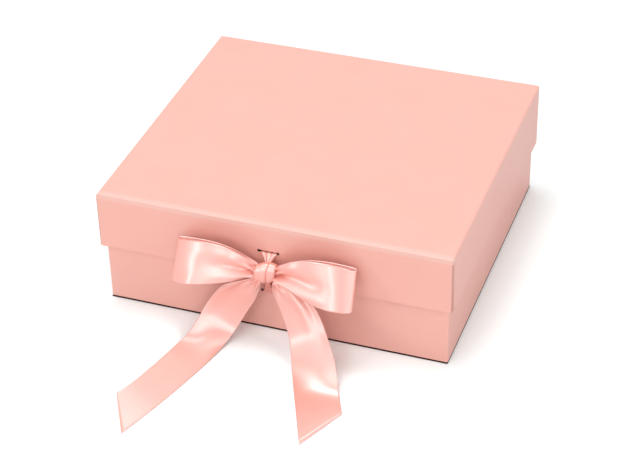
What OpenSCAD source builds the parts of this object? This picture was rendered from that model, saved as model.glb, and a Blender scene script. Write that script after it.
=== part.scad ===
// Folding gift box: wrapped board panels, a lid hinged on paper along its rear
// edge, and a satin ribbon tied in a bow through slots in the lid and the base.
// Frame: origin at the centre of the underside, +X right, -Y towards the bow, +Z up.

/* [Base] */
// Outside width of the base, over its paper
base_w = 210; // [150:1:320]
// Outside depth of the base, over its paper
base_d = 191.8; // [140:0.2:300]
// Overall height with the lid closed
box_h = 75.4; // [60:0.2:140]
// Gap between the top of the walls and the inside of the lid
lid_rest_gap = 0.3; // [0.2:0.1:1]
// Outside radius of the base's upright corners
corner_r = 1.8; // [1:0.1:3]
// Height of the shadow gap under the walls
foot_h = 1.2; // [0.4:0.1:1.2]
// How far the bottom panel is set back from the walls
foot_inset = 2; // [1.9:0.1:3]

/* [Lid] */
// How far the lid stands out past the base on each side
lid_side_over = 2.5; // [2.3:0.1:4]
// How far the lid stands out past the base in front
lid_front_over = 2.8; // [2.5:0.1:4]
// How far the lid stands out past the base behind
lid_rear_over = 1; // [0.6:0.1:2]
// Depth of the front flap
front_flap_h = 36.5; // [30:0.5:42]
// Depth of the side flaps at their rear end
side_flap_rear_h = 42.8; // [30:0.2:50]
// Outside radius of the folded edges round the lid's top
fold_r = 3; // [1:0.1:3.2]
// Rounding of the front flap's upright ends
flap_end_r = 1; // [0.5:0.1:1.4]
// Open seam between the front flap and each side flap
corner_seam = 0.9; // [0.5:0.1:1.5]
// Width of the paper tab inside each front corner of the lid
lid_tab_w = 22; // [12:1:40]
// Thickness of that tab
lid_tab_t = 0.4; // [0.3:0.05:0.5]

/* [Board and paper] */
// Thickness of the grey board
board_t = 1.5; // [1.2:0.1:1.8]
// Thickness of the covering and lining paper
paper_t = 0.2; // [0.1:0.05:0.3]
// Free edge of the lid's lining, back from the edge of each flap
lining_margin = 4; // [2:1:10]

/* [Corner tabs] */
// Width of a tab that joins two walls of the base
tab_w = 30; // [20:1:45]
// Height of such a tab
tab_h = 58; // [40:1:62]
// Thickness of such a tab
tab_t = 1.2; // [0.8:0.1:1.6]
// Height of a tab above the floor of the box
tab_lift = 6; // [3:1:10]
// Slope at the top and bottom of a tab's free edge
tab_slope = 7; // [3:1:12]
// Width of the adhesive strip under each tab
adhesive_w = 18; // [10:1:20]
// Height of the adhesive strip under each tab
adhesive_h = 40; // [20:1:44]

/* [Closure] */
// Diameter of each closing magnet
magnet_d = 12; // [8:1:15]
// Thickness of each closing magnet
magnet_t = 1; // [0.8:0.1:1.1]
// Distance of each magnet's middle in from the side of the base
magnet_inset = 33; // [31:1:60]
// Height of the magnets above the underside
magnet_z = 52; // [48:1:56]

/* [Ribbon slots] */
// Length of each ribbon slot
slot_l = 13.2; // [13:0.2:18]
// Width of each ribbon slot
slot_w = 1; // [0.9:0.1:1.4]
// Diameter of the punched hole at each end of a slot
slot_end_d = 1.8; // [1.6:0.1:2.4]
// Middle of the slots, right of the middle of the box
slot_x = -1.2; // [-3:0.1:3]
// Height of the slot in the lid's front flap
upper_slot_z = 57.4; // [56:0.1:58]
// Height of the slot in the front wall of the base
lower_slot_z = 27.4; // [24:0.1:30]

/* [Ribbon] */
// Thickness of the ribbon
ribbon_t = 0.4; // [0.3:0.05:0.5]
// Width of the ribbon where it is drawn through the slots
strand_w = 11; // [8:0.5:11.4]
// Radius of each of the knot's two lobes
knot_r = 3.2; // [2.8:0.1:3.6]
// Height of the knot
knot_h = 13; // [11:0.5:14]
// Middle of the knot, right of the middle of the box
knot_x = -0.4; // [-1:0.1:1]
// Height of the middle of the knot
knot_z = 48; // [47:0.5:49]
// Distance of the knot's middle out from the lid's front
knot_out = 7.3; // [6.8:0.1:8]
// Steps in each stretch between two points of a ribbon's edge
ribbon_steps = 3; // [2:1:4]

/* [Hinge] */
// Height of the hinge paper glued to the back wall
hinge_glued_h = 15; // [10:1:25]
// Free height of the hinge paper below the lid
hinge_free_h = 2.4; // [1.5:0.1:4]

/* [Hidden] */

$fn = 48;
WRAP = "#F2B6A8";
LINING = "#F6C7BB";
BOARD = "#A9A296";
SATIN = "#F9C3B8";
STEEL = "#B9BCC0";

// Thickness of a wrapped wall, and the half sizes of the base
wall_t = board_t + 2 * paper_t;
half_w = base_w / 2;
half_d = base_d / 2;
wall_top = box_h - wall_t - lid_rest_gap;
floor_z = board_t + 2 * paper_t;
// Faces of the lid
lid_half_w = half_w + lid_side_over;
lid_front = -half_d - lid_front_over;
lid_rear = half_d + lid_rear_over;
lid_inner_z = box_h - wall_t;
flap_low_z = box_h - front_flap_h;
side_low_z = box_h - side_flap_rear_h;
side_start = lid_front + wall_t + corner_seam;
// Faces inside the base
in_w = half_w - wall_t;
in_d = half_d - wall_t;
magnet_x = half_w - magnet_inset;
// Where the inner strand of the ribbon ends, out in front of the base
strand_end = -half_d - 0.4;
// A margin for cutting right through
cut = 1;

// ---- helpers -------------------------------------------------------------

// A block from its lowest to its highest corner
module block(low, high) {
    translate(low) cube(high - low);
}

// A rectangle with round corners, from its middle to its edges
module round_rect(half_x, half_y, r) {
    for (side = [-1, 1], end = [-1, 1])
        translate([side * (half_x - r), end * (half_y - r)]) circle(r);
    square([2 * half_x, 2 * (half_y - r)], center = true);
    square([2 * (half_x - r), 2 * half_y], center = true);
}

// A block whose top edge is rounded in front and on both sides, not behind
module folded_block(half_x, y0, y1, low, top, r) {
    intersection() {
        translate([0, y1, 0]) rotate([90, 0, 0]) linear_extrude(y1 - y0) {
            translate([-half_x, low]) square([2 * half_x, top - r - low]);
            translate([-half_x + r, low]) square([2 * (half_x - r), top - low]);
            for (side = [-1, 1]) translate([side * (half_x - r), top - r]) circle(r);
        }
        translate([-half_x, 0, 0]) rotate([90, 0, 90]) linear_extrude(2 * half_x) {
            translate([y0, low]) square([y1 - y0, top - r - low]);
            translate([y0 + r, low]) square([y1 - y0 - r, top - low]);
            translate([y0 + r, top - r]) circle(r);
        }
    }
}

// A slot along X with a round punched hole at each end, cut along Y
module ribbon_slot(y, depth, z) {
    translate([slot_x, y - cut, z]) rotate([-90, 0, 0]) {
        translate([-slot_l / 2 + slot_end_d / 2, -slot_w / 2, 0])
            cube([slot_l - slot_end_d, slot_w, depth + 2 * cut]);
        for (side = [-1, 1])
            translate([side * (slot_l - slot_end_d) / 2, 0, 0])
                cylinder(d = slot_end_d, h = depth + 2 * cut);
    }
}

// A disc standing in the XZ plane, from y towards +Y
module disc(x, y, z, d, t) {
    translate([x, y, z]) rotate([-90, 0, 0]) cylinder(d = d, h = t);
}

// Catmull-Rom curve through the points p, with n steps between neighbours
function end_point(p, i) = p[max(0, min(len(p) - 1, i))];
function on_curve(p, i, t) =
    let (a = end_point(p, i - 1), b = p[i], c = end_point(p, i + 1), d = end_point(p, i + 2))
    0.5 * ((2 * b) + (c - a) * t + (2 * a - 5 * b + 4 * c - d) * t * t
        + (3 * b - a - 3 * c + d) * t * t * t);
function curve(p, n) = [
    for (i = [0 : len(p) - 2], k = [0 : n - 1]) on_curve(p, i, k / n),
    p[len(p) - 1]
];
function unit(v) = v / norm(v);

// A strip of ribbon between two edges, each a list of points, t thick
module strip(edge_a, edge_b, t) {
    a = curve(edge_a, ribbon_steps);
    b = curve(edge_b, ribbon_steps);
    last = len(a) - 1;
    mid = (a + b) / 2;
    normals = [for (i = [0 : last])
        unit(cross(mid[min(last, i + 1)] - mid[max(0, i - 1)], a[i] - b[i])) * t / 2];
    points = [for (i = [0 : last])
        each [a[i] + normals[i], b[i] + normals[i], b[i] - normals[i], a[i] - normals[i]]];
    sides = [for (i = [0 : last - 1], k = [0 : 3])
        let (p = 4 * i + k, q = 4 * i + (k + 1) % 4)
        each [[p, q + 4, q], [p, p + 4, q + 4]]];
    ends = [[0, 1, 2], [0, 2, 3],
        [4 * last, 4 * last + 2, 4 * last + 1], [4 * last, 4 * last + 3, 4 * last + 2]];
    polyhedron(points = points, faces = concat(sides, ends), convexity = 6);
}

// ---- base ----------------------------------------------------------------

module base_bottom_board() {
    edge = foot_inset + paper_t;
    color(BOARD) block([-half_w + edge, -half_d + edge, paper_t],
        [half_w - edge, half_d - edge, paper_t + board_t]);
}

module base_front_board() {
    y = -half_d + paper_t;
    color(BOARD) difference() {
        block([-half_w + corner_r, y, foot_h + paper_t],
            [half_w - corner_r, y + board_t, wall_top - paper_t]);
        ribbon_slot(y, board_t, upper_slot_z);
        ribbon_slot(y, board_t, lower_slot_z);
        for (side = [-1, 1])
            disc(side * magnet_x, y - cut, magnet_z, magnet_d + 0.2, magnet_t + 0.1 + cut);
    }
}

module base_back_board() {
    y = half_d - paper_t - board_t;
    color(BOARD) block([-half_w + corner_r, y, foot_h + paper_t],
        [half_w - corner_r, y + board_t, wall_top - paper_t]);
}

module base_side_board(side) {
    edge = paper_t + board_t;
    x = side > 0 ? half_w - edge : -half_w + paper_t;
    color(BOARD) block([x, -half_d + edge, foot_h + paper_t],
        [x + board_t, half_d - edge, wall_top - paper_t]);
}

// Covering paper round the four walls, over their top edges and turned in below
module base_outer_wrap() {
    edge = paper_t + board_t;
    color(WRAP) difference() {
        translate([0, 0, foot_h]) linear_extrude(wall_top - foot_h)
            round_rect(half_w, half_d, corner_r);
        translate([0, 0, foot_h + paper_t]) linear_extrude(wall_top - foot_h - 2 * paper_t)
            round_rect(half_w - paper_t, half_d - paper_t, corner_r - paper_t);
        block([-half_w + foot_inset, -half_d + foot_inset, 0],
            [half_w - foot_inset, half_d - foot_inset, wall_top - paper_t]);
        block([-half_w + edge, -half_d + edge, foot_h + paper_t],
            [half_w - edge, half_d - edge, wall_top + cut]);
        ribbon_slot(-half_d, paper_t, upper_slot_z);
        ribbon_slot(-half_d, paper_t, lower_slot_z);
    }
}

// Paper under the bottom panel and up its edges, which stand back from the walls
module base_bottom_paper() {
    x = half_w - foot_inset;
    y = half_d - foot_inset;
    color(WRAP) difference() {
        block([-x, -y, 0], [x, y, foot_h + paper_t]);
        block([-x + paper_t, -y + paper_t, paper_t], [x - paper_t, y - paper_t, foot_h + cut]);
    }
}

// Lining paper inside the four walls
module base_inner_lining() {
    edge = paper_t + board_t;
    color(LINING) difference() {
        block([-half_w + edge, -half_d + edge, edge], [half_w - edge, half_d - edge, wall_top - paper_t]);
        block([-in_w, -in_d, 0], [in_w, in_d, wall_top + cut]);
        ribbon_slot(-in_d - paper_t, paper_t, upper_slot_z);
        ribbon_slot(-in_d - paper_t, paper_t, lower_slot_z);
    }
}

module base_floor_lining() {
    color(LINING) block([-in_w, -in_d, floor_z - paper_t], [in_w, in_d, floor_z]);
}

// A tab that folds in from a side wall and is stuck behind the front or back wall
module corner_tab(x_side, y_side) {
    low = floor_z + tab_lift;
    color(LINING) scale([x_side, y_side, 1])
        translate([in_w, in_d - paper_t, low]) rotate([90, 0, 0])
            linear_extrude(tab_t)
                polygon([[0, 0], [0, tab_h], [-tab_w, tab_h - tab_slope], [-tab_w, tab_slope]]);
}

module corner_adhesive_strips() {
    low = floor_z + tab_lift + (tab_h - adhesive_h) / 2;
    x = in_w - tab_w / 2;
    color("#EFE9DF") for (x_side = [-1, 1], y_side = [-1, 1])
        scale([x_side, y_side, 1]) block([x - adhesive_w / 2, in_d - paper_t, low],
            [x + adhesive_w / 2, in_d, low + adhesive_h]);
}

module base_magnets() {
    color(STEEL) for (side = [-1, 1])
        disc(side * magnet_x, -half_d + paper_t, magnet_z, magnet_d, magnet_t);
}

// Paper that joins the back wall to the lid: glued to the wall, then bending out
// to the rear edge of the lid
module hinge_paper() {
    bend_z = lid_inner_z - hinge_free_h;
    out = lid_rear + paper_t / 2;
    color(WRAP) translate([-half_w + cut, 0, 0]) rotate([90, 0, 90])
        linear_extrude(base_w - 2 * cut) polygon([
            [half_d, bend_z - hinge_glued_h], [half_d + paper_t, bend_z - hinge_glued_h],
            [half_d + paper_t, bend_z], [out + paper_t, lid_inner_z],
            [out + paper_t, box_h - paper_t], [out, box_h - paper_t],
            [out, lid_inner_z], [half_d, bend_z]
        ]);
}

// ---- lid -----------------------------------------------------------------

module lid_top_board() {
    color(BOARD) block([-lid_half_w + fold_r, lid_front + fold_r, lid_inner_z + paper_t],
        [lid_half_w - fold_r, lid_rear - paper_t, box_h - paper_t]);
}

module lid_front_flap_board() {
    y = lid_front + paper_t;
    color(BOARD) difference() {
        block([-lid_half_w + flap_end_r, y, flap_low_z + paper_t],
            [lid_half_w - flap_end_r, y + board_t, box_h - fold_r]);
        ribbon_slot(y, board_t, upper_slot_z);
        for (side = [-1, 1])
            disc(side * magnet_x, y + board_t - magnet_t - 0.1, magnet_z,
                magnet_d + 0.2, magnet_t + 0.1 + cut);
    }
}

// The outline of a side flap seen from the side, from y0 to y1, its lower edge
// raised by lift
module side_flap_outline(y0, y1, lift, top) {
    slope = (side_low_z - flap_low_z) / (lid_rear - lid_front);
    function low(y) = flap_low_z + slope * (y - lid_front) + lift;
    polygon([[y0, low(y0)], [y1, low(y1)], [y1, top], [y0, top]]);
}

// A sheet of a side flap, t thick, its lower face at x
module side_sheet(x, t, y0, y1, lift, top) {
    translate([x, 0, 0]) rotate([90, 0, 90])
        linear_extrude(t) side_flap_outline(y0, y1, lift, top);
}

module lid_side_flap_board(side) {
    x = side > 0 ? lid_half_w - paper_t - board_t : -lid_half_w + paper_t;
    color(BOARD) side_sheet(x, board_t, side_start + paper_t, lid_rear - paper_t,
        paper_t, box_h - fold_r);
}

// Covering paper of the lid: over the top and down the three flaps, and turned
// in round their free edges and round the rear edge of the top
module lid_outer_wrap() {
    x = lid_half_w;
    edge = paper_t + board_t;
    fold_z = box_h - fold_r;
    color(WRAP) {
        intersection() {
            difference() {
                folded_block(x, lid_front, lid_rear, side_low_z - cut, box_h, fold_r);
                folded_block(x - paper_t, lid_front + paper_t, lid_rear + cut,
                    side_low_z - 2 * cut, box_h - paper_t, fold_r - paper_t);
                ribbon_slot(lid_front, paper_t, upper_slot_z);
            }
            union() {
                block([-x, lid_front, fold_z], [x, lid_rear, box_h]);
                block([-x, lid_front, flap_low_z], [x, lid_front + wall_t, fold_z]);
                side_sheet(-x, 2 * x, side_start, lid_rear, 0, fold_z);
            }
        }
        block([-x, lid_front, flap_low_z], [x, lid_front + edge, flap_low_z + paper_t]);
        block([-x + fold_r, lid_rear - paper_t, lid_inner_z], [x - fold_r, lid_rear, box_h]);
        for (side = [-1, 1]) {
            side_x = side > 0 ? x - edge : -x;
            difference() {
                side_sheet(side_x, edge, side_start, lid_rear, 0, fold_z);
                side_sheet(side_x - cut, edge + 2 * cut, side_start + paper_t,
                    lid_rear - paper_t, paper_t, fold_z + cut);
            }
        }
    }
}

// Lining paper inside the top and the flaps
module lid_inner_lining() {
    x = lid_half_w - paper_t - board_t;
    y = lid_front + paper_t + board_t;
    color(LINING) {
        block([-x, y, lid_inner_z], [x, lid_rear - paper_t, lid_inner_z + paper_t]);
        difference() {
            block([-x + paper_t, y, flap_low_z + lining_margin], [x - paper_t, y + paper_t, lid_inner_z]);
            ribbon_slot(y, paper_t, upper_slot_z);
        }
        for (side = [-1, 1])
            side_sheet(side > 0 ? x - paper_t : -x, paper_t, side_start + lining_margin,
                lid_rear - lining_margin, lining_margin, lid_inner_z);
    }
}

// A paper tab behind each end of the front flap
module lid_corner_tab(side) {
    x = lid_half_w - wall_t;
    y = lid_front + wall_t;
    color(LINING) scale([side, 1, 1]) block([x - lid_tab_w, y, flap_low_z + lining_margin],
        [x - paper_t, y + lid_tab_t, lid_inner_z - paper_t]);
}

module lid_magnets() {
    color(STEEL) for (side = [-1, 1])
        disc(side * magnet_x, lid_front + paper_t + board_t - magnet_t, magnet_z, magnet_d, magnet_t);
}

// ---- ribbon --------------------------------------------------------------
// Each piece is given by its two edges. The points are measured from the front
// face of the lid, [right, out from the lid, up from the table].

function from_lid(points) = [for (p = points) [p.x, lid_front - p.y, p.z]];

// The knot: two barrel-shaped lobes of ribbon side by side
module ribbon_knot() {
    half_h = knot_h / 2;
    barrel = [for (a = [-90 : 15 : 90]) [knot_r * pow(max(0, cos(a)), 0.6), half_h * sin(a)]];
    color(SATIN) for (side = [-1, 1])
        translate([knot_x + side * (knot_r + 0.1), lid_front - knot_out, knot_z])
            rotate_extrude() polygon(barrel);
}

module ribbon_left_loop() {
    upper = [[-4, 8, 50.8], [-6.9, 8.6, 53.4], [-11.6, 10.9, 59.4], [-21.9, 12.9, 65.3],
        [-35.7, 12.2, 65.6], [-46.9, 9.5, 62.6], [-52.3, 7, 60.4], [-54, 5.1, 60.1],
        [-52, 3.4, 60], [-36, 3.4, 60.5], [-23, 4, 59], [-12, 4.6, 55], [-4, 5.2, 51]];
    lower = [[-4, 8.7, 45.8], [-6.9, 9.2, 44.8], [-14.7, 14.6, 45.6], [-27.3, 19.7, 43.9],
        [-40, 22, 41.5], [-48.5, 20.6, 39.2], [-53.6, 18, 37.2], [-55.2, 15.8, 37],
        [-53, 13.7, 37.3], [-38, 12.4, 40], [-25, 10.4, 42.5], [-13, 8, 44.5], [-4, 6.2, 46]];
    color(SATIN) strip(from_lid(upper), from_lid(lower), ribbon_t);
}

module ribbon_right_loop() {
    upper = [[3, 8, 50.8], [6.1, 8.6, 53.4], [11.3, 10.2, 58.7], [20.9, 12.3, 64.8], [35.3, 12.7, 66.6],
        [46.1, 9.5, 64], [51.3, 7, 60.9], [53.3, 5.1, 60.5], [51.3, 3.4, 60.8], [36, 3.6, 61.5],
        [23, 4, 60], [12, 4.6, 56], [3, 5.2, 51]];
    lower = [[3, 8.7, 45.8], [6.1, 9.2, 45.8], [14.7, 13.4, 45.5], [26.7, 18.6, 42.9], [39, 22.5, 42],
        [47, 21, 40.7], [52, 18.2, 39.2], [54, 15.8, 39], [52, 13.7, 39], [38, 12.4, 40.5],
        [25, 10.4, 42.5], [13, 8, 44.5], [3, 6.2, 46]];
    color(SATIN) strip(from_lid(upper), from_lid(lower), ribbon_t);
}

module ribbon_left_tail() {
    outer = [[-6, 7.8, 44.5], [-14, 8.3, 41.5], [-22.7, 8.9, 37.6], [-29.4, 7.8, 31.6],
        [-36, 6.9, 21.4], [-40.3, 9.3, 13.2], [-43.2, 14.2, 7], [-46.5, 20, 1.6], [-49.9, 30.1, 0.6],
        [-55.3, 52, 0.6], [-61, 71.5, 0.6], [-64.7, 79.5, 0.6]];
    inner = [[-2.6, 9.6, 43.6], [-4.7, 8.6, 35.2], [-7.9, 7.8, 26.5], [-12.2, 6.7, 18.8],
        [-17.4, 6.6, 8.5], [-20.8, 11.4, 2.6], [-22.9, 21.1, 0.6], [-25.1, 32.9, 0.6],
        [-27.5, 43.8, 0.6], [-33.1, 64.8, 0.6], [-39, 84, 0.6], [-48, 110, 0.6]];
    color(SATIN) strip(from_lid(outer), from_lid(inner), ribbon_t);
}

module ribbon_right_tail() {
    inner = [[2.6, 9.6, 43.6], [2.7, 9.9, 37.9], [5.7, 10.3, 31.2], [9.7, 11.4, 24.2], [12.9, 13, 17.6],
        [15.7, 15.1, 11.1], [18, 19.3, 6.2], [20.5, 24.9, 2.2], [23.8, 33.1, 0.6], [28.2, 44, 0.6],
        [33, 54.8, 0.6], [47.8, 88.5, 0.6]];
    outer = [[5.5, 7.8, 44.5], [16, 7.8, 41], [23.9, 8, 36.8], [30.1, 9.7, 31.2], [34.2, 12.6, 26.8],
        [38.7, 17, 21.8], [42.9, 22.8, 17.9], [46.7, 27.5, 14.4], [50, 32.8, 10], [52.5, 37.8, 4.5],
        [55.5, 43.8, 0.8], [61.8, 57.3, 0.6]];
    color(SATIN) strip(from_lid(inner), from_lid(outer), ribbon_t);
}

// From the knot up through the slot in the lid and the upper slot in the base
module ribbon_upper_strand() {
    half = strand_w / 2;
    left = [[slot_x - 2, 7.5, 53], [slot_x - 2.6, 6.6, 55.6], [slot_x - half + 1, 3.6, 57],
        [slot_x - half, 1, upper_slot_z], [slot_x - half, 0, upper_slot_z],
        [slot_x - half, lid_front + in_d, upper_slot_z]];
    right = [for (p = left) [2 * slot_x - p.x, p.y, p.z]];
    color(SATIN) strip(from_lid(left), from_lid(right), ribbon_t);
}

// Inside the base, down from the upper slot and out through the lower one
module ribbon_inner_strand() {
    y = -in_d;
    out = strand_end;
    t = ribbon_t;
    color(SATIN) translate([slot_x - strand_w / 2, 0, 0]) rotate([90, 0, 90])
        linear_extrude(strand_w) polygon([
            [y + 0.1, upper_slot_z + t / 2], [y + 0.2 + t, upper_slot_z + t / 2],
            [y + 0.2 + t, lower_slot_z - t / 2], [out, lower_slot_z - t / 2],
            [out, lower_slot_z + t / 2], [y + 0.2, lower_slot_z + t / 2],
            [y + 0.2, upper_slot_z - t / 2], [y + 0.1, upper_slot_z - t / 2]
        ]);
}

// From the lower slot up to the underside of the knot
module ribbon_lower_strand() {
    half = strand_w / 2;
    start = lid_front - strand_end + 0.15;
    left = [[slot_x - half, start, lower_slot_z], [slot_x - half, start + 0.9, lower_slot_z],
        [slot_x - half + 1, 2, 30], [slot_x - 3.2, 5, 36], [slot_x - 2, 7.2, 43]];
    right = [for (p = left) [2 * slot_x - p.x, p.y, p.z]];
    color(SATIN) strip(from_lid(left), from_lid(right), ribbon_t);
}

base_bottom_board();
base_front_board();
base_back_board();
base_side_board(-1);  // base_left_board
base_side_board(1);  // base_right_board
base_outer_wrap();
base_bottom_paper();
base_inner_lining();
base_floor_lining();
corner_tab(-1, -1);  // left_front_corner_tab
corner_tab(1, -1);  // right_front_corner_tab
corner_tab(-1, 1);  // left_rear_corner_tab
corner_tab(1, 1);  // right_rear_corner_tab
corner_adhesive_strips();
base_magnets();
hinge_paper();
lid_top_board();
lid_front_flap_board();
lid_side_flap_board(-1);  // lid_left_flap_board
lid_side_flap_board(1);  // lid_right_flap_board
lid_outer_wrap();
lid_inner_lining();
lid_corner_tab(-1);  // lid_left_corner_tab
lid_corner_tab(1);  // lid_right_corner_tab
lid_magnets();
ribbon_knot();
ribbon_left_loop();
ribbon_right_loop();
ribbon_left_tail();
ribbon_right_tail();
ribbon_upper_strand();
ribbon_lower_strand();
ribbon_inner_strand();
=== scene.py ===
"""Gift box with a hinged lid and a satin bow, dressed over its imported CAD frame."""
import math

import bmesh
import bpy
import numpy as np
from mathutils import Matrix, Vector


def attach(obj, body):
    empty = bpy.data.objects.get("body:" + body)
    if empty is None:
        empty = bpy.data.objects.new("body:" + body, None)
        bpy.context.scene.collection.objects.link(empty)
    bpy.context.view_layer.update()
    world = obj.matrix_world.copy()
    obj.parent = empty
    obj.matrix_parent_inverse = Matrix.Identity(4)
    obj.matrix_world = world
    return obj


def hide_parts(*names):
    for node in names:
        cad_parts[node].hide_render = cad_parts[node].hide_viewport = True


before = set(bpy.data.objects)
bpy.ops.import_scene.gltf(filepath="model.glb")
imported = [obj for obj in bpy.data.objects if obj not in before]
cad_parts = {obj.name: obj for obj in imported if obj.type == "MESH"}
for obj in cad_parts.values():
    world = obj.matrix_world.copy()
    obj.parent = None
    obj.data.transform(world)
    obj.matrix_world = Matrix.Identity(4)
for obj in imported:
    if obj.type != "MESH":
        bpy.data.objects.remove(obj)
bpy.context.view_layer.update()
MM, TURN = 0.001, 2 * math.pi           # metres in a millimetre, and a full turn

# ---- sizes of the frame, in millimetres --------------------------------------
# Base: half sizes over its paper, walls, the room inside, and the foot that it stands on
HALF_W, HALF_D = 105.0, 95.9
WALL_TOP, WALL_T, CORNER_R = 73.2, 1.9, 1.8
IN_W, IN_D, FLOOR_Z = 103.1, 94.0, 1.9
FOOT_H, FOOT_IN = 1.05, 2.0
# Lid: faces, lower edges of the flaps, rounded folds and open corner seams
LID_X, LID_FRONT, LID_REAR, LID_TOP = 107.5, -98.7, 96.9, 75.4
LID_IN_Z, FLAP_LOW, SIDE_LOW = 73.5, 38.9, 32.6
FOLD_R, SIDE_FOLD_R, FLAP_END_R, SEAM = 3.0, 1.2, 0.5, 0.9
SIDE_START = LID_FRONT + WALL_T + SEAM
SIDE_SLOPE = (SIDE_LOW - FLAP_LOW) / (LID_REAR - LID_FRONT)
PIVOT_Y, PIVOT_Z = 97.05, 73.35
# Ribbon slots: middle, heights, length, width and the round holes at their ends
SLOT_X, UPPER_SLOT, LOWER_SLOT = -1.2, 57.4, 27.4
SLOT_L, SLOT_W, SLOT_END_D = 13.2, 1.0, 1.8
# Ribbon, and the seam between the knot's two wraps
RIBBON_W, RIBBON_T = 25.0, 0.3
KNOT_Y, SEAM_X, SEAM_Z = -106.0, 1.0, 48.4
# Finer sizes, which only this dressing has
PAST = 5                                # how far a cutter reaches past a face
COVER_T = WALL_T - 0.08                 # the covers stop just short of the lining
COVER_EASE, LINING_EASE = 0.14, 0.06    # how much the slots are widened
RIM_R, FOOT_EDGE_R = 0.7, 0.45          # edges of the base
FREE_EDGE_R, END_EDGE_R = 0.77, 0.62    # edges of the flaps: lower, and at seams and rear
TAB_EDGE_R, LID_TAB_EDGE_R = 0.45, 0.12
LINING_T, LINING_SEAT, LINING_FOLD_R = 0.12, 0.02, 1.2
HINGE_T, KNOT_T, STRAND_T = 0.16, 0.2, 0.16


# ---- mesh helpers ------------------------------------------------------------

def new_object(name, data):
    """A new object in the scene, from a mesh, a camera or a light."""
    obj = bpy.data.objects.new(name, data)
    bpy.context.scene.collection.objects.link(obj)
    return obj


def make(name, points, faces, body, smooth=True):
    """A mesh object from points in millimetres, riding on a body."""
    mesh = bpy.data.meshes.new(name)
    mesh.from_pydata([tuple(float(c) * MM for c in p) for p in points], [], faces)
    mesh.validate()
    mesh.update()
    obj = new_object(name, mesh)
    for polygon in mesh.polygons:
        polygon.use_smooth = smooth
    if body:
        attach(obj, body)
    return obj


def prism(name, outline, axis, start, end, body=None):
    """A closed prism: an outline in the plane across axis, from start to end along it."""
    place = {
        "x": lambda p, s: (s, p[0], p[1]),
        "y": lambda p, s: (p[0], s, p[1]),
        "z": lambda p, s: (p[0], p[1], s),
    }[axis]
    n = len(outline)
    points = [place(p, s) for s in (start, end) for p in outline]
    faces = [list(range(n)), list(range(n, 2 * n))]
    faces += [[i, (i + 1) % n, n + (i + 1) % n, n + i] for i in range(n)]
    obj = make(name, points, faces, body, smooth=False)
    work = bmesh.new()
    work.from_mesh(obj.data)
    bmesh.ops.recalc_face_normals(work, faces=work.faces)
    work.to_mesh(obj.data)
    work.free()
    return obj


def box(name, low, high):
    outline = [(low[0], low[1]), (high[0], low[1]), (high[0], high[1]), (low[0], high[1])]
    return prism(name, outline, "z", low[2], high[2])


def applied(obj):
    """Bakes the object's modifiers into its mesh."""
    graph = bpy.context.evaluated_depsgraph_get()
    mesh = bpy.data.meshes.new_from_object(obj.evaluated_get(graph))
    obj.modifiers.clear()
    old = obj.data
    obj.data = mesh
    bpy.data.meshes.remove(old)
    mesh.name = obj.name


def thicken(obj, thickness):
    """Gives a sheet its thickness, half to each side."""
    mod = obj.modifiers.new("thickness", "SOLIDIFY")
    mod.thickness, mod.offset = thickness * MM, 0


def cut(obj, *cutters):
    """Subtracts the cutters from the object and removes them."""
    for cutter in cutters:
        mod = obj.modifiers.new("cut", "BOOLEAN")
        mod.operation, mod.solver, mod.object = "DIFFERENCE", "EXACT", cutter
        applied(obj)
        bpy.data.objects.remove(cutter)


def slot_cutter(face, depth, z, extra):
    """A cutter for the ribbon's slot in the wall with its front at Y = face: a slit with a
    round hole at each end."""
    r, half = SLOT_END_D / 2 + extra, SLOT_W / 2 + extra
    reach = SLOT_L / 2 - SLOT_END_D / 2
    turn = math.pi - math.asin(half / r)
    steps, ahead = 14, 2
    arc = [-turn + 2 * turn * i / steps for i in range(steps + 1)]
    outline = [(SLOT_X + reach + r * math.cos(a), z + r * math.sin(a)) for a in arc]
    outline += [(SLOT_X - reach - r * math.cos(a), z - r * math.sin(a)) for a in arc]
    return prism("slot_cutter", outline, "y", face - ahead, face + depth)


def round_edges(obj, radius, widest, segments=5, profile=0.5):
    """Rounds the object's edges: radius(middle, edge direction) gives each edge's radius."""
    same, level, sharp = 1e-6, 0.002, 0.35      # metres, and angles between faces
    mesh = obj.data
    work = bmesh.new()
    work.from_mesh(mesh)
    bmesh.ops.remove_doubles(work, verts=work.verts, dist=same)
    bmesh.ops.dissolve_limit(work, angle_limit=level, verts=work.verts, edges=work.edges)
    layer = work.edges.layers.float.new("bevel_weight_edge")
    for edge in work.edges:
        a, b = (Vector(v.co) / MM for v in edge.verts)
        edge[layer] = radius((a + b) / 2, (b - a).normalized()) / widest
        edge.smooth = edge[layer] > 0 or edge.calc_face_angle(0) < sharp
    for face in work.faces:
        face.smooth = True
    work.to_mesh(mesh)
    work.free()
    mod = obj.modifiers.new("round", "BEVEL")
    mod.limit_method, mod.width, mod.segments = "WEIGHT", widest * MM, segments
    mod.profile = profile
    mod.harden_normals = True
    mod.use_clamp_overlap = False
    applied(obj)


def keep_flat(obj):
    """Weights the shading normals by area, so that a wall stays flat beside cuts and folds."""
    sharp, most = 0.7, 100
    obj.data.set_sharp_from_angle(angle=sharp)
    mod = obj.modifiers.new("normals", "WEIGHTED_NORMAL")
    mod.keep_sharp, mod.weight = True, most
    applied(obj)


def near(a, b, slack=0.05):
    """Whether two sizes in millimetres agree."""
    return abs(a - b) < slack


# ---- ribbon helpers ----------------------------------------------------------
# Steps between neighbouring points, columns across, and rounds that relax edges and normals
STEPS, COLUMNS, EDGE_ROUNDS, NORMAL_ROUNDS = 8, 36, 10, 4


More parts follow.
